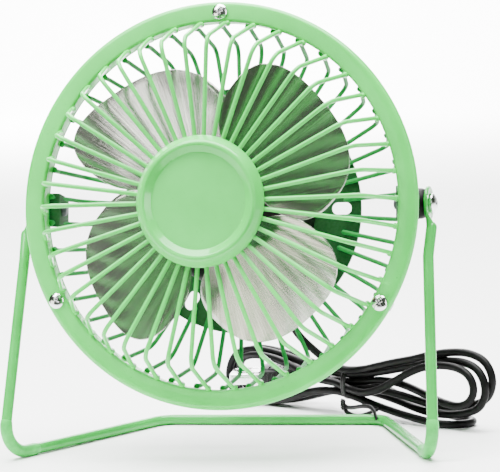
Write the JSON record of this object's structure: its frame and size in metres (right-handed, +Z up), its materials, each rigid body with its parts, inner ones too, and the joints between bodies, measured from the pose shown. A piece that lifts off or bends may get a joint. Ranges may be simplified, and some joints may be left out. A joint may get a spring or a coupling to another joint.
{
  "type": "desk fan",
  "caption": "Small metal USB desk fan with a round wire guard that tilts on a bent-rod stand, four aluminium blades and a USB lead folded into a hank.",
  "frame": {"origin": "on the table, at the middle of the box of the fan without its cord", "axes": "+Z up, the fan blows towards -Y, X along the tilt axis with +X to the right seen from the front"},
  "size_m": [0.1688, 0.1586, 0.1604],
  "materials": {
    "mint_paint": "gloss",
    "sleeve": "satin, translucent",
    "plated": "bright plated",
    "dark_steel": "dull",
    "black_rubber": "matte",
    "black_plastic": "fine grain",
    "white_plastic": "satin",
    "bronze": "satin",
    "copper": "satin",
    "wire_pvc": "gloss",
    "cord_pvc": "satin",
    "blade_metal": "polished, fine brushed"
  },
  "bodies": {
    "stand": {"stand_frame": "mint_paint", "foot_sleeves": "sleeve", "cord_lead": "cord_pvc", "cord_hank": "cord_pvc", "cord_tie": "cord_pvc", "plug_body": "cord_pvc", "plug_shell": "plated", "plug_insert": "white_plastic", "plug_contacts": "bronze"},
    "head": {"front_ring": "mint_paint", "front_wires": "mint_paint", "front_cap": "mint_paint", "cap_plate": "mint_paint", "rear_rim": "mint_paint", "rear_wires": "mint_paint", "rear_plate": "mint_paint", "guard_screws": "plated", "guard_nuts": "plated", "pivot_brackets": "mint_paint", "pivot_screws": "plated", "pivot_nuts": "dark_steel", "friction_washers": "black_rubber", "motor_housing": "black_plastic", "housing_screws": "plated", "motor_can": "plated", "motor_end_cap": "white_plastic", "motor_magnets": "dark_steel", "motor_brushes": "copper", "front_bushing": "bronze", "rear_bushing": "bronze", "motor_screws": "plated", "switch_body": "black_plastic", "lead_wires": "wire_pvc", "cord_gland": "black_rubber"},
    "rotor": {"fan_blades": "blade_metal", "blade_hub": "bronze", "hub_rivets": "plated", "motor_shaft": "plated", "armature_core": "dark_steel", "armature_coils": "copper", "commutator": "copper"},
    "rocker": {"switch_rocker": "black_plastic"}
  },
  "joints": [
    {"name": "head_tilt", "type": "hinge", "parent": "stand", "child": "head", "pos_m": [0, -0.00322, 0.08685], "axis": [1, 0, 0], "range_deg": [-81, 99], "deforming": ["cord_lead"]},
    {"name": "fan_spin", "type": "hinge", "parent": "head", "child": "rotor", "pos_m": [0, -0.013, 0.0884], "axis": [0, -0.9877, 0.1564], "continuous": true},
    {"name": "switch_rock", "type": "hinge", "parent": "head", "child": "rocker", "pos_m": [-0.0094, 0.01222, 0.0674], "axis": [0, 0.1564, 0.9877], "range_deg": [-16, 0]}
  ]
}
